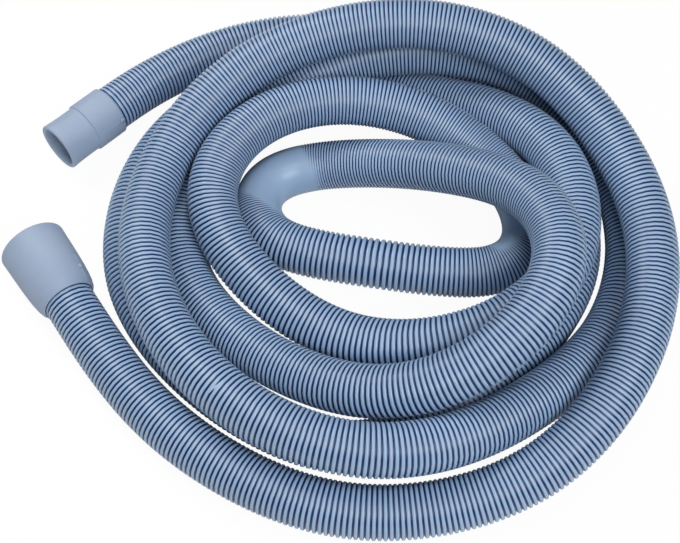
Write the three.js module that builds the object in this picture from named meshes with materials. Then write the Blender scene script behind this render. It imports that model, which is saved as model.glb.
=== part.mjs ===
// Corrugated drain hose of a washing machine, lying in a loose pile of turns,
// with a stepped straight cuff on one end and a conical cuff on the other.
// Millimetres, +Z up. The origin is on the floor, under the middle of the pile.
import * as THREE from 'three';

// Hose. HOSE_WALL is from the crests of its corrugations to the bore.
const HOSE_OUTER = 26;
const HOSE_WALL = 3;
const HOSE_SIDES = 12;
const HOSE_STEPS = 96;
const HOSE_RUNS = 8;

// Fit of the hose in both cuffs
const FIT_GAP = 0.2;
const SOCKET_WALL = 0.9;
const THROAT_LIP = 0.5;
const SHOULDER = 2;
const CUFF_SIDES = 48;
const EDGE = 0.6;

// Straight cuff: a collar over the hose, a small step down, then a nose that flares to its rim
const NOSE_SEAT = 17.5;
const STEP_START = 0.1;
const STEP_LENGTH = 0.8;
const STEP_DEPTH = 0.9;
const NOSE_LENGTH = 19.5;
const NOSE_FLARE = 0.4;
const NOSE_WALL = 2.4;

// Conical cuff: a taper from the hose to a wide mouth with a round rim
const CONE_SEAT = 18.5;
const CONE_LENGTH = 21;
const TAPER_END = 0.5;
const TAPER_WIDENS = 2.5;
const MOUTH_WIDENS = 1;
const CONE_WALL = 2.4;
const CONE_ROUND = 1.6;
const CONE_ROUND_STEPS = 5;

const HOSE_COLOUR = 0x8ba0bd;
const CUFF_COLOUR = 0xa0b0cc;

// The hose's route, from the end in the conical cuff to the end in the straight cuff. The curve
// runs close by each point. A turn is read from the front of the pile, round the right and the back.
const ROUTE = [
  // out of the conical cuff and along the front, on the floor
  [-145, -19, 17], [-131, -39, 16], [-117, -60, 14], [-88, -97, 13], [-47, -127, 13],
  [-1, -146, 13], [50, -145, 13], [98, -131, 23],
  // up the right and round the back, on top of the turns that follow
  [133, -98, 37], [156, -50, 40], [161, 2, 40], [144, 48, 47], [112, 83, 63], [66, 102, 72],
  [14, 104, 71], [-36, 94, 59],
  // down the left and along the front
  [-74, 68, 44], [-95, 24, 37], [-97, -27, 40], [-76, -75, 41], [-38, -110, 40],
  [10, -128, 39], [58, -120, 34], [102, -91, 24],
  // under the first turn: right, back and left
  [139, -55, 14], [157, -9, 13], [155, 38, 15], [138, 77, 30], [97, 103, 42], [41, 111, 46],
  [-15, 99, 37], [-59, 74, 20], [-81, 32, 13], [-82, -14, 13],
  // climbing over the front to the top of the pile, and back down to the tight bend on the left
  [-55, -51, 13], [-13, -83, 22], [34, -100, 39], [82, -84, 59], [112, -44, 72], [100, 4, 64],
  [55, 31, 43], [22, 46, 25], [-9, 51, 16], [-34, 45, 14], [-44, 26, 14],
  // the small turn inside the pile
  [-36, 5, 13], [-13, -4, 13], [21, -10, 13], [59, -16, 13], [90, -16, 14], [105, 4, 20],
  [93, 34, 29], [53, 68, 40], [-3, 77, 46],
  [-51, 55, 46], [-70, 12, 38], [-42, -29, 24], [2, -59, 17], [51, -70, 32], [98, -54, 42],
  // right and back again, sinking to the floor under the turns that cross it
  [125, -13, 40], [121, 39, 42], [88, 76, 34], [41, 100, 14], [-9, 117, 13], [-58, 107, 13],
  // the last full turn on the floor, outside on the left and inside on the right
  [-94, 72, 13], [-111, 24, 13], [-107, -26, 13], [-77, -69, 13], [-33, -103, 13],
  [13, -118, 13], [57, -97, 13], [99, -60, 13], [127, -18, 13], [129, 30, 13], [110, 77, 13],
  // out from under the back and into the straight cuff
  [76, 117, 13], [31, 142, 13], [-18, 148, 13], [-66, 136, 13],
  [-104, 111, 14], [-122, 93, 15], [-138, 77, 15],
];

// A uniform cubic B-spline: every stretch blends four neighbouring points, and the curve
// starts and ends on the first and last of them.
class RouteCurve extends THREE.Curve {
  constructor(route) {
    super();
    this.points = route.map(([x, y, z]) => new THREE.Vector3(x, y, z));
  }

  // Steps along the hose follow the route's points, which lie closer together in the tight bends.
  getUtoTmapping(u) {
    return u;
  }

  control(index) {
    const last = this.points.length - 1;
    if (index < 0) return this.points[0].clone().multiplyScalar(2).sub(this.points[1]);
    if (index > last) return this.points[last].clone().multiplyScalar(2).sub(this.points[last - 1]);
    return this.points[index];
  }

  getPoint(t, target = new THREE.Vector3()) {
    const stretches = this.points.length - 1;
    const stretch = Math.min(Math.floor(t * stretches), stretches - 1);
    const u = t * stretches - stretch;
    const weights = [
      (1 - u) ** 3,
      3 * u ** 3 - 6 * u ** 2 + 4,
      -3 * u ** 3 + 3 * u ** 2 + 3 * u + 1,
      u ** 3,
    ];
    target.set(0, 0, 0);
    weights.forEach((weight, k) => target.addScaledVector(this.control(stretch - 1 + k), weight / 6));
    return target;
  }
}

function material(colour, roughness) {
  return new THREE.MeshStandardMaterial({ color: colour, roughness, metalness: 0 });
}

const boreRadius = HOSE_OUTER / 2 - HOSE_WALL;

// The corners of the hose's section at each step, outside and in the bore. A section is square
// to the route and is carried on from the one before with no twist.
function hoseSections(route) {
  const frames = route.computeFrenetFrames(HOSE_STEPS, false);
  return frames.normals.map((normal, step) => {
    const centre = route.getPointAt(step / HOSE_STEPS);
    const corners = (radius) => Array.from({ length: HOSE_SIDES }, (_, side) => {
      const angle = (side / HOSE_SIDES) * 2 * Math.PI;
      return centre.clone()
        .addScaledVector(normal, radius * Math.cos(angle))
        .addScaledVector(frames.binormals[step], radius * Math.sin(angle));
    });
    return { outside: corners(HOSE_OUTER / 2), bore: corners(boreRadius) };
  });
}

// The skin between two rings of corners, as triangles.
function addSkin(triangles, from, to) {
  from.forEach((corner, side) => {
    const next = (side + 1) % HOSE_SIDES;
    triangles.push(corner, from[next], to[next]);
    triangles.push(corner, to[next], to[side]);
  });
}

// One run of the hose, closed at both ends by its cut wall.
function makeRun(number, sections) {
  const triangles = [];
  const last = sections.length - 1;
  for (let step = 0; step < last; step += 1) {
    addSkin(triangles, sections[step].outside, sections[step + 1].outside);
    addSkin(triangles, sections[step + 1].bore, sections[step].bore);
  }
  addSkin(triangles, sections[0].bore, sections[0].outside);
  addSkin(triangles, sections[last].outside, sections[last].bore);
  const geometry = new THREE.BufferGeometry().setFromPoints(triangles);
  geometry.computeVertexNormals();
  const mesh = new THREE.Mesh(geometry, material(HOSE_COLOUR, 0.5));
  mesh.name = `hose_run_${number}`;
  return mesh;
}

// The hose is one piece. It is divided into runs that meet face to face, each less than one
// turn, so that each can have collision pieces that follow it round the pile.
function makeHose(route) {
  const sections = hoseSections(route);
  const steps = HOSE_STEPS / HOSE_RUNS;
  return Array.from({ length: HOSE_RUNS }, (_, run) => (
    makeRun(run + 1, sections.slice(run * steps, (run + 1) * steps + 1))
  ));
}

// Both cuffs are turned about Y. Height 0 is the hose's end face, the hose lies below it
// and the cuff's mouth is above it. A profile is a loop of radius and height.
const socketRadius = HOSE_OUTER / 2 + FIT_GAP;
const collarRadius = socketRadius + SOCKET_WALL;
const throatRadius = boreRadius - THROAT_LIP;

// From the mouth's bore over the shoulder that the hose's end rests under, to the socket's edge
function inside(bore, seat) {
  return [
    [bore, FIT_GAP + SHOULDER],
    [throatRadius, FIT_GAP + SHOULDER],
    [throatRadius, FIT_GAP],
    [socketRadius, FIT_GAP],
    [socketRadius, -seat],
  ];
}

function straightProfile() {
  const nose = collarRadius - STEP_DEPTH;
  const rim = nose + NOSE_FLARE;
  const bore = rim - NOSE_WALL;
  return [
    [collarRadius - EDGE, -NOSE_SEAT],
    [collarRadius, -NOSE_SEAT + EDGE],
    [collarRadius, STEP_START],
    [nose, STEP_START + STEP_LENGTH],
    [nose, NOSE_LENGTH * 0.5],
    [rim, NOSE_LENGTH - EDGE],
    [rim - EDGE, NOSE_LENGTH],
    [bore + EDGE, NOSE_LENGTH],
    [bore, NOSE_LENGTH - EDGE],
    ...inside(bore, NOSE_SEAT),
  ];
}

function conicalProfile() {
  const taper = collarRadius + TAPER_WIDENS;
  const mouth = taper + MOUTH_WIDENS;
  const bore = mouth - CONE_WALL;
  const roundRim = [];
  for (let step = 0; step <= CONE_ROUND_STEPS; step += 1) {
    const angle = (step / CONE_ROUND_STEPS) * (Math.PI / 2);
    roundRim.push([
      mouth - CONE_ROUND + CONE_ROUND * Math.cos(angle),
      CONE_LENGTH - CONE_ROUND + CONE_ROUND * Math.sin(angle),
    ]);
  }
  return [
    [collarRadius - EDGE, -CONE_SEAT],
    [collarRadius, -CONE_SEAT + EDGE],
    [taper, TAPER_END],
    ...roundRim,
    [bore, CONE_LENGTH],
    ...inside(bore, CONE_SEAT),
  ];
}

// A cuff sits on one end of the route, in line with the hose's first step, mouth outwards.
function makeCuff(name, profile, route, end) {
  const loop = [...profile, profile[0]].map(([radius, height]) => new THREE.Vector2(radius, height));
  const geometry = new THREE.LatheGeometry(loop, CUFF_SIDES);
  const mesh = new THREE.Mesh(geometry, material(CUFF_COLOUR, 0.6));
  const hoseEnd = route.getPointAt(end);
  const oneStepBack = route.getPointAt(Math.abs(end - 1 / HOSE_STEPS));
  const away = hoseEnd.clone().sub(oneStepBack).normalize();
  mesh.quaternion.setFromUnitVectors(new THREE.Vector3(0, 1, 0), away);
  mesh.position.copy(hoseEnd);
  mesh.name = name;
  return mesh;
}

const route = new RouteCurve(ROUTE);
const drainHose = new THREE.Group();
drainHose.add(
  ...makeHose(route),
  makeCuff('conical_cuff', conicalProfile(), route, 0),
  makeCuff('straight_cuff', straightProfile(), route, 1),
);

export default drainHose;
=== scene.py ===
# %% [markdown]
# # A washing machine drain hose, left in a loose pile
# The real thing is a blown plastic hose, corrugated so that it bends without closing, with a soft
# cuff moulded onto each end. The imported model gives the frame: a plain tube and two turned cuffs.
# This lesson lays a corrugated hose along the tube's route, models both cuffs in full and lights them.

# %% Load the frame
import math

import bmesh
import bpy
import numpy as np
from mathutils import Matrix, Vector


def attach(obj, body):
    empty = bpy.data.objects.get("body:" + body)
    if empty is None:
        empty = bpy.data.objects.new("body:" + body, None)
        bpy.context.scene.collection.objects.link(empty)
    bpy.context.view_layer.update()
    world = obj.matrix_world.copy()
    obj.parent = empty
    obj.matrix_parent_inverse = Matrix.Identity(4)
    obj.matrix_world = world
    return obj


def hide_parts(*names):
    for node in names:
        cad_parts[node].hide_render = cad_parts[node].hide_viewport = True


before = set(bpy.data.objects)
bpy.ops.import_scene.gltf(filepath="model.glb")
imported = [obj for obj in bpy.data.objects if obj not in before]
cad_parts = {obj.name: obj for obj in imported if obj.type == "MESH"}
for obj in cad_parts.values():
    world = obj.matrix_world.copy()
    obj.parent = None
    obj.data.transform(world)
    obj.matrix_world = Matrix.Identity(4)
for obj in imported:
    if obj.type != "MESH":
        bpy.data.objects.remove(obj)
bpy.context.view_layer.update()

print("frame loaded with nodes", sorted(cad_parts))

# %% [markdown]
# ## Sizes
# Everything is in metres. The hose is a common one: a 20 mm bore, 26 mm over the crests.

# %% Sizes of the hose and its cuffs
MM = 0.001
HOSE_OUTER = 26 * MM
HOSE_BORE = 20 * MM
FIT_GAP = 0.2 * MM
MERGE_WITHIN = 0.01 * MM
print("hose", HOSE_OUTER / MM, "mm over the crests, with a bore of", HOSE_BORE / MM, "mm")

# %% [markdown]
# ## The camera
# The photograph looks down at about 59 degrees from a little over half a metre away. The camera
# comes first, because the route of a free hose is judged against what the camera sees.

# %% Camera
CAMERA_ELEVATION = math.radians(59.19)
CAMERA_DISTANCE = 647 * MM
CAMERA_AIM = Vector((3 * MM, -7 * MM, 0))
LENS = 64.6


def make_camera():
    data = bpy.data.cameras.new("camera")
    data.lens = LENS
    data.sensor_width = 36
    camera = bpy.data.objects.new("camera", data)
    back = Vector((0, -math.cos(CAMERA_ELEVATION), math.sin(CAMERA_ELEVATION)))
    camera.location = CAMERA_AIM + back * CAMERA_DISTANCE
    camera.rotation_euler = (-back).to_track_quat("-Z", "Y").to_euler()
    bpy.context.collection.objects.link(camera)
    bpy.context.scene.camera = camera
    return camera


camera = make_camera()
print("camera", round(CAMERA_DISTANCE / MM), "mm from the pile, lens", LENS, "mm")

# %% [markdown]
# ## The route
# The hose is stiff, so its centreline is one smooth curve: a cubic B-spline that runs close by each
# point. Points were marked along the middle of every strand of the photograph, with a guessed height. A
# fit made outside this script then moved them until the turns lay clear of each other and of the floor,
# with the smoothest bends, and the result was rounded to millimetres and retouched by hand. Stretches
# that lie hidden under other turns are guesses. It is the same route as the frame's plain tube.

# %% The hose's route
ROUTE = [
    # out of the conical cuff and along the front, on the floor
    (-145, -19, 17), (-131, -39, 16), (-117, -60, 14), (-88, -97, 13), (-47, -127, 13),
    (-1, -146, 13), (50, -145, 13), (98, -131, 23),
    # up the right and round the back, on top of the turns that follow
    (133, -98, 37), (156, -50, 40), (161, 2, 40), (144, 48, 47), (112, 83, 63), (66, 102, 72),
    (14, 104, 71), (-36, 94, 59),
    # down the left and along the front
    (-74, 68, 44), (-95, 24, 37), (-97, -27, 40), (-76, -75, 41), (-38, -110, 40),
    (10, -128, 39), (58, -120, 34), (102, -91, 24),
    # under the first turn: right, back and left
    (139, -55, 14), (157, -9, 13), (155, 38, 15), (138, 77, 30), (97, 103, 42), (41, 111, 46),
    (-15, 99, 37), (-59, 74, 20), (-81, 32, 13), (-82, -14, 13),
    # climbing over the front to the top of the pile, and back down to the tight bend on the left
    (-55, -51, 13), (-13, -83, 22), (34, -100, 39), (82, -84, 59), (112, -44, 72), (100, 4, 64),
    (55, 31, 43), (22, 46, 25), (-9, 51, 16), (-34, 45, 14), (-44, 26, 14),
    # the small turn inside the pile
    (-36, 5, 13), (-13, -4, 13), (21, -10, 13), (59, -16, 13), (90, -16, 14), (105, 4, 20),
    (93, 34, 29), (53, 68, 40), (-3, 77, 46),
    (-51, 55, 46), (-70, 12, 38), (-42, -29, 24), (2, -59, 17), (51, -70, 32), (98, -54, 42),
    # right and back again, sinking to the floor under the turns that cross it
    (125, -13, 40), (121, 39, 42), (88, 76, 34), (41, 100, 14), (-9, 117, 13), (-58, 107, 13),
    # the last full turn on the floor, outside on the left and inside on the right
    (-94, 72, 13), (-111, 24, 13), (-107, -26, 13), (-77, -69, 13), (-33, -103, 13),
    (13, -118, 13), (57, -97, 13), (99, -60, 13), (127, -18, 13), (129, 30, 13), (110, 77, 13),
    # out from under the back and into the straight cuff
    (76, 117, 13), (31, 142, 13), (-18, 148, 13), (-66, 136, 13),
    (-104, 111, 14), (-122, 93, 15), (-138, 77, 15),
]
SAMPLES_PER_POINT = 120


def spline_points(route):
    """The B-spline through the route, as many close points."""
    points = np.array(route, dtype=float) * MM
    first = 2 * points[0] - points[1]
    last = 2 * points[-1] - points[-2]
    control = np.vstack([first, points, last])
    stretches = len(points) - 1
    t = np.linspace(0, stretches, stretches * SAMPLES_PER_POINT + 1)
    start = np.minimum(t.astype(int), stretches - 1)
    u = (t - start)[:, None]
    weights = [
        (1 - u) ** 3,
        3 * u ** 3 - 6 * u ** 2 + 4,
        -3 * u ** 3 + 3 * u ** 2 + 3 * u + 1,
        u ** 3,
    ]
    return sum(weight * control[start + k] for k, weight in enumerate(weights)) / 6


line = spline_points(ROUTE)
line_steps = np.linalg.norm(np.diff(line, axis=0), axis=1)
line_along = np.concatenate([[0], np.cumsum(line_steps)])
HOSE_LENGTH = float(line_along[-1])
print("the hose is", round(HOSE_LENGTH, 3), "m long")

# %% [markdown]
# ## A frame that travels along the route
# To lay a straight tube along the curve, each place needs its own sideways and upward directions.
# Carrying the first pair along, and turning it only as much as the curve itself turns, keeps the
# tube free of twist.


# %% Directions along the route
def travelling_directions(points):
    """Tangent, side and up at each point, carried along with no twist."""
    tangents = np.gradient(points, axis=0)
    tangents /= np.linalg.norm(tangents, axis=1)[:, None]
    up = np.array([0.0, 0.0, 1.0])
    ups = np.empty_like(points)
    for index, tangent in enumerate(tangents):
        up = up - tangent * up.dot(tangent)
        up /= np.linalg.norm(up)
        ups[index] = up
    return tangents, np.cross(tangents, ups), ups


line_tangents, line_sides, line_ups = travelling_directions(line)
line_bends = np.gradient(line_tangents, axis=0) / np.gradient(line_along)[:, None]


def along_route(distance, values):
    """Values of the route at some distances from its start."""
    return np.stack([np.interp(distance, line_along, values[:, k]) for k in range(3)], axis=1)


tightest = 1 / np.linalg.norm(line_bends, axis=1).max()
print("directions carried along", len(line), "points; the tightest bend is", round(tightest / MM), "mm")

# %% [markdown]
# ## Crests and grooves
# The crests left the mould equally far apart, but such a hose gives along its length like a
# concertina. In the photograph the crests lie close together at the back and closer still in the
# two tight bends, and they are pulled apart at the front. So the pitch is a list of places along
# the hose, and it runs evenly from one to the next. Where a strand can be seen, the spacing was
# measured along it in the photograph and rounded. Where it is hidden, the pitch is a guess.

# %% Pitch along the hose
# Millimetres along the hose, and millimetres from crest to crest there
PITCHES = [
    (0, 2.55), (280, 2.55), (350, 2.35), (450, 2.6), (530, 2.3), (600, 2.2), (700, 2.2), (770, 2.5),
    (930, 2.6), (1050, 2.45), (1170, 2.6), (1300, 2.4), (1380, 2.2), (1500, 2.2), (1600, 2.35),
    (1710, 2.65), (1780, 2.5), (1840, 2.1), (1890, 2.05), (1950, 2.25), (1990, 1.9), (2010, 1.4),
    (2022, 0.7), (2047, 0.7), (2058, 1.4), (2078, 2.3), (2130, 3.3), (2170, 2.4), (2200, 1.5),
    (2240, 1.1), (2275, 1.5), (2310, 2.05), (2370, 2.1), (2430, 1.9), (2490, 2.5), (2550, 2.9),
    (2680, 2.5), (2790, 2.2), (2950, 2.6), (3650, 2.6), (3750, 2.4), (3800, 2.4),
]


END_MARGIN = 0.6 * MM
CREST_WIDTH = 1 * MM


def pitch_at(along):
    places, pitches = np.array(PITCHES, dtype=float).T * MM
    return np.interp(along, places, pitches)


def crest_places(length):
    """Where each crest starts, and the pitch there."""
    found = []
    place = END_MARGIN
    while place + CREST_WIDTH + END_MARGIN < length:
        pitch = float(pitch_at(place))
        found.append((place, pitch))
        place += pitch
    return found


print(len(crest_places(HOSE_LENGTH)), "crests on the hose")

# %% [markdown]
# ## The corrugated hose
# The real hose is extruded as a plain tube and blown into a travelling mould, which gives rings
# with rounded crests and narrow grooves. A screw thread would be quicker to model but wrong,
# because the rings don't climb. So the hose is made like a long turned part: one profile with its
# crests and grooves, spun once round the axis, and then laid on the route.

# %% Turn the straight hose
HOSE_SIDES = 18
GROOVE_DEPTH = 1.4 * MM
CREST_SHARE = 0.42


def corrugated_profile(length):
    """Distance along the hose and radius for each ring of the mesh."""
    crest = HOSE_OUTER / 2
    groove = crest - GROOVE_DEPTH
    rings = [(0.0, groove)]
    for start, pitch in crest_places(length):
        crest_end = start + CREST_SHARE * pitch
        rings.append((start, crest))
        rings.append((crest_end, crest))
        rings.append(((crest_end + start + pitch) / 2, groove))
    rings[-1] = (length, groove)
    return rings


def add_chain(mesh, places):
    """A chain of vertices joined by edges."""
    chain = [mesh.verts.new(place) for place in places]
    edges = [mesh.edges.new(pair) for pair in zip(chain, chain[1:])]
    return chain + edges


def spin_round(mesh, chain, sides):
    """Turns a chain once round Z."""
    bmesh.ops.spin(
        mesh, geom=chain, cent=(0, 0, 0), axis=(0, 0, 1), dvec=(0, 0, 0),
        angle=2 * math.pi, steps=sides, use_merge=True, use_duplicate=False,
    )


BORE_STEP = 20 * MM


def straight_hose(length):
    """The hose before it is laid: outside with its rings, plain bore, and both ends closed."""
    rings = corrugated_profile(length)
    bore_steps = int(length / BORE_STEP)
    outside = [(radius, 0, along) for along, radius in rings]
    inside = [(HOSE_BORE / 2, 0, length * (1 - step / bore_steps)) for step in range(bore_steps + 1)]
    mesh = bmesh.new()
    chain = add_chain(mesh, outside + inside + outside[:1])
    spin_round(mesh, chain, HOSE_SIDES)
    bmesh.ops.remove_doubles(mesh, verts=mesh.verts, dist=MERGE_WITHIN)
    bmesh.ops.recalc_face_normals(mesh, faces=mesh.faces)
    return mesh, rings


hose_mesh, hose_rings = straight_hose(HOSE_LENGTH)
print("straight hose with", len(hose_rings), "rings of vertices and", len(hose_mesh.faces), "faces")

# %% [markdown]
# ## Lay the hose
# Each vertex knows how far along the hose it is and how far it is from the axis. Laying it is one
# change of place. On the inside of a bend the crests move together: the groove between them gets
# shallower, which smooths the outline there, and it closes where they would touch, so a tight bend
# looks nearly smooth. How far a point lies into its groove, before the shallowing, is stored as an
# attribute, so that the material can follow the surface and paint shade into the grooves.


# %% Lay it along the route
def new_piece(name, mesh):
    """A finished object at the origin from a bmesh."""
    data = bpy.data.meshes.new(name)
    mesh.to_mesh(data)
    mesh.free()
    piece = bpy.data.objects.new(name, data)
    bpy.context.collection.objects.link(piece)
    return piece


def store(piece, name, values):
    attribute = piece.data.attributes.new(name, "FLOAT", "POINT")
    attribute.data.foreach_set("value", np.asarray(values, dtype=np.float32))


# Places where the mould's halves left a bridge over one groove: distance along, and angle round.
MOULD_MARKS = [(0.925, 66), (1.664, 66), (3.717, 90)]
# A groove closes where the gap between crests falls below the first two, and lies shallower, at
# SHALLOWEST of its depth, where it falls below the last two
GAP_CLOSED = 0.05 * MM
GAP_OPEN = 0.5 * MM
GAP_SHALLOW = 1.2 * MM
GAP_DEEP = 1.85 * MM
SHALLOWEST = 0.4
BORE_MARGIN = 0.1 * MM


def smooth_step(low, high, values):
    share = np.clip((values - low) / (high - low), 0, 1)
    return share * share * (3 - 2 * share)


def bridged(along, across, upward):
    """The vertices in a groove that a mould mark fills."""
    angle = np.degrees(np.arctan2(upward, across))
    found = np.zeros(len(along), dtype=bool)
    for place, turn in MOULD_MARKS:
        apart = (angle - turn + 180) % 360 - 180
        found |= (np.abs(along - place) < CREST_WIDTH) & (np.abs(apart) <= 180 / HOSE_SIDES)
    return found


def lay_hose(mesh):
    piece = new_piece("corrugated_hose", mesh)
    count = len(piece.data.vertices)
    places = np.empty(count * 3)
    piece.data.vertices.foreach_get("co", places)
    across, upward, along = places.reshape(-1, 3).T
    distance = np.hypot(across, upward)
    depth = HOSE_OUTER / 2 - distance
    outside = distance > HOSE_BORE / 2 + BORE_MARGIN

    sides = along_route(along, line_sides)
    ups = along_route(along, line_ups)
    bends = along_route(along, line_bends)
    offsets = across[:, None] * sides + upward[:, None] * ups
    gap = pitch_at(along) * (1 - (offsets * bends).sum(axis=1)) - CREST_WIDTH
    kept = np.where(outside, smooth_step(GAP_CLOSED, GAP_OPEN, gap), 1)
    kept[outside & bridged(along, across, upward)] = 0
    deep = SHALLOWEST + (1 - SHALLOWEST) * smooth_step(GAP_SHALLOW, GAP_DEEP, gap)
    radius = np.where(outside, HOSE_OUTER / 2 - depth * kept * deep, distance)
    laid = along_route(along, line) + offsets * (radius / distance)[:, None]
    piece.data.vertices.foreach_set("co", laid.ravel())
    # Painted shade: the attribute leaves out the shallowing, so a shallow groove keeps the dark colour
    # of a full one
    store(piece, "groove", np.where(outside, depth * kept / GROOVE_DEPTH, 1))
    piece.data.shade_smooth()
    return piece


hose = lay_hose(hose_mesh)
print("hose laid:", len(hose.data.vertices), "vertices")

# %% [markdown]
# ## The cuffs
# Both cuffs are moulded in a soft plastic and are round, so each is a profile turned on the axis.
# Height 0 is the hose's end face: the hose is below it and the mouth above it.

# %% Cuff profiles
SOCKET_WALL = 0.9 * MM
SOCKET = HOSE_OUTER / 2 + FIT_GAP
COLLAR = SOCKET + SOCKET_WALL
CUFF_SIDES = 96


def arc(centre, radius, start, end, steps):
    """Points of an arc, as radius and height, from one angle in degrees to another."""
    angles = np.radians(np.linspace(start, end, steps + 1))
    return [(centre[0] + radius * math.cos(a), centre[1] + radius * math.sin(a)) for a in angles]


SHOULDER = 2 * MM
THROAT = 9.5 * MM
COLLAR_ROUND = 0.6 * MM


def collar_end(seat):
    """The round edge of the collar on the hose's side."""
    return arc((COLLAR - COLLAR_ROUND, -seat + COLLAR_ROUND), COLLAR_ROUND, -90, 0, 4)


def cuff_inside(bore, seat):
    """From the mouth's bore over the shoulder that the hose's end rests under, to the socket's edge."""
    return [
        (bore, FIT_GAP + SHOULDER), (THROAT, FIT_GAP + SHOULDER),
        (THROAT, FIT_GAP), (SOCKET, FIT_GAP), (SOCKET, -seat),
    ]


NOSE_SEAT = 17.5 * MM
STEP_START = -0.1 * MM
STEP_DEPTH = 0.9 * MM
NOSE_LENGTH = 19.5 * MM
NOSE_FLARE = 0.4 * MM
NOSE_WALL = 2.4 * MM
RIM_ROUND = 0.9 * MM
# Under the step: millimetres wider than the nose, and millimetres past the step's start
STEP_FOOT = [(0.1, 0.75), (0, 1.2)]


def straight_profile():
    nose = COLLAR - STEP_DEPTH
    rim = nose + NOSE_FLARE
    bore = rim - NOSE_WALL
    return (
        collar_end(NOSE_SEAT)
        + arc((COLLAR - COLLAR_ROUND, STEP_START), COLLAR_ROUND, 0, 60, 3)
        + [(nose + wider * MM, STEP_START + past * MM) for wider, past in STEP_FOOT]
        + [(nose, NOSE_LENGTH * 0.5), (nose + NOSE_FLARE * 0.4, NOSE_LENGTH * 0.75)]
        + arc((rim - RIM_ROUND, NOSE_LENGTH - RIM_ROUND), RIM_ROUND, 0, 90, 5)
        + arc((bore + RIM_ROUND, NOSE_LENGTH - RIM_ROUND), RIM_ROUND, 90, 180, 4)
        + cuff_inside(bore, NOSE_SEAT)
    )


CONE_SEAT = 18.5 * MM
CONE_LENGTH = 21 * MM
CONE_WIDENS = 3.5 * MM
CONE_WALL = 2.4 * MM
CONE_ROUND = 1.2 * MM
BORE_EDGE = (0.2 * MM, 0.4 * MM)
# The taper, as millimetres that it is wider than the collar at millimetres past the hose's end
TAPER = [(0.8, -16.8), (1.55, -14), (2.15, -10), (2.5, -6), (2.75, -2), (2.95, 2)]


def conical_profile():
    mouth = COLLAR + CONE_WIDENS
    bore = mouth - CONE_WALL
    return (
        collar_end(CONE_SEAT)
        + [(COLLAR + wider * MM, height * MM) for wider, height in TAPER]
        + arc((mouth - CONE_ROUND, CONE_LENGTH - CONE_ROUND), CONE_ROUND, 0, 90, 6)
        + [(bore + BORE_EDGE[0], CONE_LENGTH), (bore, CONE_LENGTH - BORE_EDGE[1])]
        + cuff_inside(bore, CONE_SEAT)
    )


print("straight cuff", len(straight_profile()), "points, conical cuff", len(conical_profile()))

# %% [markdown]
# ## Marks of the mould
# A moulded cuff shows where its mould closed, as a fine raised line along its side, and where the
# plastic was let in, as a small round gate. Both are pieces of the cuff's own mesh, set on its
# outside at a height and an angle round the axis.


# %% Mould line and gate
LINE_WIDTH = 0.7 * MM
LINE_RISE = 0.3 * MM
LINE_SINK = 0.05 * MM
LINE_STEP = 1 * MM
LINE_START = -16 * MM
LINE_END = -1.5 * MM
GATE_RADIUS = 1.6 * MM
GATE_RISE = 0.5 * MM
GATE_SIDES = 20
GATE_TAPER = 0.75


def outside_radius(profile, heights):
    """Radius of the outside of a cuff at some heights."""
    top = max(range(len(profile)), key=lambda k: profile[k][1])
    outside = np.array(profile[:top + 1])
    return np.interp(heights, outside[:, 1], outside[:, 0])


def add_mould_line(mesh, profile, angle, low, high):
    heights = np.linspace(low, high, int((high - low) / LINE_STEP) + 1)
    radii = outside_radius(profile, heights)
    rows = []
    for side, rise in ((-0.5, -LINE_SINK), (0, LINE_RISE), (0.5, -LINE_SINK)):
        rows.append([
            mesh.verts.new((
                (radius + rise) * math.cos(angle + side * LINE_WIDTH / radius),
                (radius + rise) * math.sin(angle + side * LINE_WIDTH / radius),
                height,
            ))
            for radius, height in zip(radii, heights)
        ])
    for row, next_row in zip(rows, rows[1:]):
        for k in range(len(heights) - 1):
            mesh.faces.new((row[k], next_row[k], next_row[k + 1], row[k + 1]))


def add_gate(mesh, profile, angle, height):
    radius = float(outside_radius(profile, height)) + GATE_RISE / 2
    place = Vector((radius * math.cos(angle), radius * math.sin(angle), height))
    outward = Vector((math.cos(angle), math.sin(angle), 0))
    turn = outward.to_track_quat("Z", "Y").to_matrix().to_4x4()
    bmesh.ops.create_cone(
        mesh, cap_ends=True, segments=GATE_SIDES, radius1=GATE_RADIUS,
        radius2=GATE_RADIUS * GATE_TAPER, depth=GATE_RISE * 2, matrix=Matrix.Translation(place) @ turn,
    )


print("mould line", LINE_WIDTH / MM, "mm wide, gate", 2 * GATE_RADIUS / MM, "mm across")

# %% [markdown]
# ## Turn the cuffs and set them on the hose's ends
# A spin makes the surface, and the edges that stay sharp get a small bevel, as any moulded edge has.
# Each cuff takes its axis from the end of the route.

# %% Turned cuffs
SHARP_ANGLE = math.radians(40)
EDGE_BEVEL = 0.25 * MM


def turned_cuff(name, profile, end_place, side, outwards, gate_angle, gate_height):
    mesh = bmesh.new()
    places = [(radius, 0, height) for radius, height in profile]
    chain = add_chain(mesh, places + places[:1])
    spin_round(mesh, chain, CUFF_SIDES)
    bmesh.ops.remove_doubles(mesh, verts=mesh.verts, dist=MERGE_WITHIN)
    bmesh.ops.recalc_face_normals(mesh, faces=mesh.faces)
    sharp = [edge for edge in mesh.edges if edge.calc_face_angle(0) > SHARP_ANGLE]
    bmesh.ops.bevel(
        mesh, geom=sharp, offset=EDGE_BEVEL, segments=2, profile=0.5, affect="EDGES", material=-1,
    )
    for angle in (gate_angle, gate_angle + math.pi):
        add_mould_line(mesh, profile, angle, LINE_START, LINE_END)
    add_gate(mesh, profile, gate_angle, gate_height)
    side, outwards = Vector(side), Vector(outwards)
    turn = Matrix((side, outwards.cross(side), outwards)).transposed().to_4x4()
    bmesh.ops.transform(mesh, matrix=Matrix.Translation(end_place) @ turn, verts=mesh.verts)
    piece = new_piece(name, mesh)
    piece.data.shade_smooth()
    return piece


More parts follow.
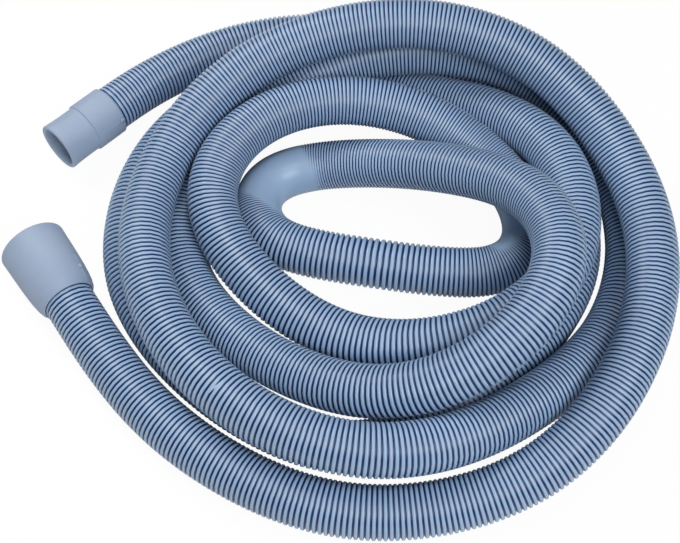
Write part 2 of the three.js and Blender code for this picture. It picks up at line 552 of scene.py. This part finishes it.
straight_cuff = turned_cuff(
    "moulded_straight_cuff", straight_profile(), line[-1], line_sides[-1], line_tangents[-1],
    gate_angle=math.radians(-138), gate_height=-16.2 * MM,
)
conical_cuff = turned_cuff(
    "moulded_conical_cuff", conical_profile(), line[0], line_sides[0], -line_tangents[0],
    gate_angle=math.radians(146), gate_height=-9 * MM,
)
print("cuffs with", len(straight_cuff.data.polygons), "and", len(conical_cuff.data.polygons), "faces")

# %% [markdown]
# ## Materials
# Colours are written as sRGB hex, as a colour picker shows them, and turned to the linear values
# that the shader wants by one function. A second function adds a node with its settings and links.


# %% Material helpers
def linear(hex_colour):
    """Linear RGBA from an sRGB hex colour."""
    channels = [int(hex_colour[k:k + 2], 16) / 255 for k in (1, 3, 5)]
    return [c / 12.92 if c <= 0.04045 else ((c + 0.055) / 1.055) ** 2.4 for c in channels] + [1]


def add_node(material, kind, settings=None, **inputs):
    """Adds a node. Settings are its own properties; inputs are values or another node's output."""
    tree = material.node_tree
    node = tree.nodes.new(kind)
    for name, value in (settings or {}).items():
        setattr(node, name, value)
    for name, value in inputs.items():
        socket = node.inputs[int(name[1:]) if name[1:].isdigit() else name.replace("_", " ")]
        if isinstance(value, bpy.types.NodeSocket):
            tree.links.new(value, socket)
        else:
            socket.default_value = value
    return node


def new_material(name):
    material = bpy.data.materials.new(name)
    material.use_nodes = True
    material.node_tree.nodes.clear()
    return material


def finish_material(material, **inputs):
    """The surface shader and the output."""
    shader = add_node(material, "ShaderNodeBsdfPrincipled", **inputs)
    add_node(material, "ShaderNodeOutputMaterial", Surface=shader.outputs[0])
    return material


print("helpers ready")

# %% [markdown]
# ## Polypropylene, blown and corrugated
# The hose is dyed polypropylene. Blown plastic is smooth and a little waxy, so its crests carry soft
# highlights, and the grooves stay dark because little light gets in. The grooves also get painted
# shade, a darker colour that stands in for the shade of deeper grooves, because they are modelled
# shallower than real ones. The colour drifts slightly over the pile.

# %% Hose material
CREST_COLOUR = "#96B0CE"
# Painted shade for the grooves, darker than the dye, standing in for the shade of deeper grooves
GROOVE_PAINTED_SHADE = "#082B5C"
DRIFT_SIZE = 60 * MM
DRIFT_DARKEST = 0.95
DRIFT_PALEST = 1.05
# The plastic's waxy grain is finer than this, and is drawn as coarse as it needs to show
GRAIN_SIZE = 0.8 * MM
GLOSSIEST = 0.33
DULLEST = 0.45
# How far into a groove, of its full depth, the painted shade starts and is complete
DARK_FROM = 0.03
DARK_TO = 0.5
# Noise seldom goes past these two values
NOISE_LOW = 0.3
NOISE_HIGH = 0.7


def blown_polypropylene():
    material = new_material("polypropylene_blown_satin")
    place = add_node(material, "ShaderNodeTexCoord").outputs["Object"]
    drift = add_node(
        material, "ShaderNodeTexNoise", Vector=place, Scale=1 / DRIFT_SIZE, Detail=2.0, Roughness=0.5,
    ).outputs[0]
    grain = add_node(
        material, "ShaderNodeTexNoise", Vector=place, Scale=1 / GRAIN_SIZE, Detail=3.0, Roughness=0.6,
    ).outputs[0]
    # Painted shade: the colour goes from the crest colour to the painted groove shade the further a
    # point lies into its groove
    depth = add_node(material, "ShaderNodeAttribute", {"attribute_name": "groove"}).outputs["Fac"]
    groove = add_node(
        material, "ShaderNodeMapRange", {"interpolation_type": "SMOOTHSTEP"},
        Value=depth, From_Min=DARK_FROM, From_Max=DARK_TO,
    ).outputs[0]
    colour = add_node(
        material, "ShaderNodeMix", {"data_type": "RGBA"},
        _0=groove, _6=linear(CREST_COLOUR), _7=linear(GROOVE_PAINTED_SHADE),
    ).outputs[2]
    value = add_node(
        material, "ShaderNodeMapRange", Value=drift, From_Min=NOISE_LOW, From_Max=NOISE_HIGH,
        To_Min=DRIFT_DARKEST, To_Max=DRIFT_PALEST,
    ).outputs[0]
    drifted = add_node(material, "ShaderNodeHueSaturation", Value=value, Color=colour).outputs[0]
    roughness = add_node(
        material, "ShaderNodeMapRange", Value=grain, From_Min=NOISE_LOW, From_Max=NOISE_HIGH,
        To_Min=GLOSSIEST, To_Max=DULLEST,
    ).outputs[0]
    bump = add_node(
        material, "ShaderNodeBump", Strength=0.08, Distance=0.05 * MM, Height=grain,
    ).outputs[0]
    return finish_material(material, Base_Color=drifted, Roughness=roughness, IOR=1.49, Normal=bump)


hose_material = blown_polypropylene()
hose.data.materials.append(hose_material)
print("made", hose_material.name)

# %% [markdown]
# ## Soft moulded rubber
# The cuffs look like a thermoplastic rubber in the same dye, paler because the surface is matte. A
# spark-eroded mould leaves such a fine even grain, which spreads every highlight.

# %% Cuff material
CUFF_COLOUR = "#99A9C0"
CUFF_SHADE = "#92A3BC"
# The real grain is a few hundredths of a millimetre, and is drawn as coarse as it needs to show
MOULD_GRAIN = 0.5 * MM
FLOW_SIZE = 25 * MM


def moulded_rubber():
    material = new_material("thermoplastic_rubber_moulded_matte")
    place = add_node(material, "ShaderNodeTexCoord").outputs["Object"]
    flow = add_node(
        material, "ShaderNodeTexNoise", Vector=place, Scale=1 / FLOW_SIZE, Detail=2.0, Roughness=0.5,
    ).outputs[0]
    grain = add_node(
        material, "ShaderNodeTexNoise", Vector=place, Scale=1 / MOULD_GRAIN, Detail=2.0, Roughness=0.5,
    ).outputs[0]
    share = add_node(
        material, "ShaderNodeMapRange", Value=flow, From_Min=0.35, From_Max=0.65,
    ).outputs[0]
    colour = add_node(
        material, "ShaderNodeMix", {"data_type": "RGBA"},
        _0=share, _6=linear(CUFF_SHADE), _7=linear(CUFF_COLOUR),
    ).outputs[2]
    bump = add_node(
        material, "ShaderNodeBump", Strength=0.15, Distance=0.05 * MM, Height=grain,
    ).outputs[0]
    return finish_material(material, Base_Color=colour, Roughness=0.62, IOR=1.5, Normal=bump)


cuff_material = moulded_rubber()
for cuff in (straight_cuff, conical_cuff):
    cuff.data.materials.append(cuff_material)
print("made", cuff_material.name)

# %% [markdown]
# ## Put the new pieces in place of the imported nodes
# The new pieces stand for the imported nodes, which are hidden, and ride on the one body. The hose has
# its real length, its far end in the straight cuff.

# %% Hide the imported nodes and attach the new pieces
hose_nodes = sorted(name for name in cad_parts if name.startswith("hose"))
for piece, nodes, slot in (
    (hose, hose_nodes, "corrugated_hose"),
    (straight_cuff, ["straight_cuff"], "moulded_cuff"),
    (conical_cuff, ["conical_cuff"], "moulded_cuff"),
):
    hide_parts(*nodes)
    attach(piece, "root")

print("declared a hose of", round(HOSE_LENGTH, 3), "m")

# %% [markdown]
# ## Floor and light
# The photograph has a pure white ground and broad soft light from above. The floor is plain white;
# to the camera it is lifted towards 1, and it still keeps the soft shadow under the pile.

# %% Floor
FLOOR_SIZE = 16
FLOOR_LIFT = 0.95


def white_floor():
    mesh = bmesh.new()
    bmesh.ops.create_grid(mesh, x_segments=1, y_segments=1, size=FLOOR_SIZE / 2)
    floor = new_piece("floor", mesh)
    material = new_material("floor_paint_white")
    seen = add_node(material, "ShaderNodeLightPath").outputs["Is Camera Ray"]
    amount = add_node(
        material, "ShaderNodeMath", {"operation": "MULTIPLY"}, _0=seen, _1=FLOOR_LIFT,
    ).outputs[0]
    paint = add_node(material, "ShaderNodeBsdfDiffuse", Color=linear("#F4F4F4")).outputs[0]
    white = add_node(material, "ShaderNodeEmission", Color=linear("#FFFFFF"), Strength=1.0).outputs[0]
    both = add_node(material, "ShaderNodeMixShader", _0=amount, _1=paint, _2=white).outputs[0]
    add_node(material, "ShaderNodeOutputMaterial", Surface=both)
    floor.data.materials.append(material)
    return floor


floor = white_floor()
print("floor", FLOOR_SIZE, "m wide")

# %% [markdown]
# ## Lamps
# One big lamp at the front gives most of the light. A smaller one low at the back left picks out the
# crests, and one overhead darkens the grooves between turns. The world fills the shadows a little.

# %% Lights
WORLD_STRENGTH = 0.16
# Name, place in metres, size in metres, watts
LAMPS = [
    ("front_lamp", (0.4, -0.7, 1.0), 0.7, 10),
    ("key_lamp", (-0.45, 0.4, 0.6), 0.4, 3.2),
    ("overhead_lamp", (0.0, -0.1, 0.9), 0.3, 1.5),
]


def soft_lamp(name, place, size, power):
    data = bpy.data.lights.new(name, "AREA")
    data.shape = "DISK"
    data.size = size
    data.energy = power
    lamp = bpy.data.objects.new(name, data)
    lamp.location = place
    lamp.rotation_euler = Vector(place).to_track_quat("Z", "Y").to_euler()
    bpy.context.collection.objects.link(lamp)
    return lamp


for lamp in LAMPS:
    soft_lamp(*lamp)


def pale_world():
    """Even light from all round, which the camera sees as white."""
    world = bpy.data.worlds.new("studio_world")
    world.use_nodes = True
    world.node_tree.nodes.clear()
    seen = add_node(world, "ShaderNodeLightPath").outputs["Is Camera Ray"]
    strength = add_node(
        world, "ShaderNodeMapRange", Value=seen, To_Min=WORLD_STRENGTH, To_Max=1.0,
    ).outputs[0]
    sky = add_node(world, "ShaderNodeBackground", Color=linear("#FFFFFF"), Strength=strength)
    add_node(world, "ShaderNodeOutputWorld", Surface=sky.outputs[0])
    bpy.context.scene.world = world


pale_world()
bpy.context.scene.view_settings.view_transform = "Standard"
print("lit by", len(LAMPS), "lamps")
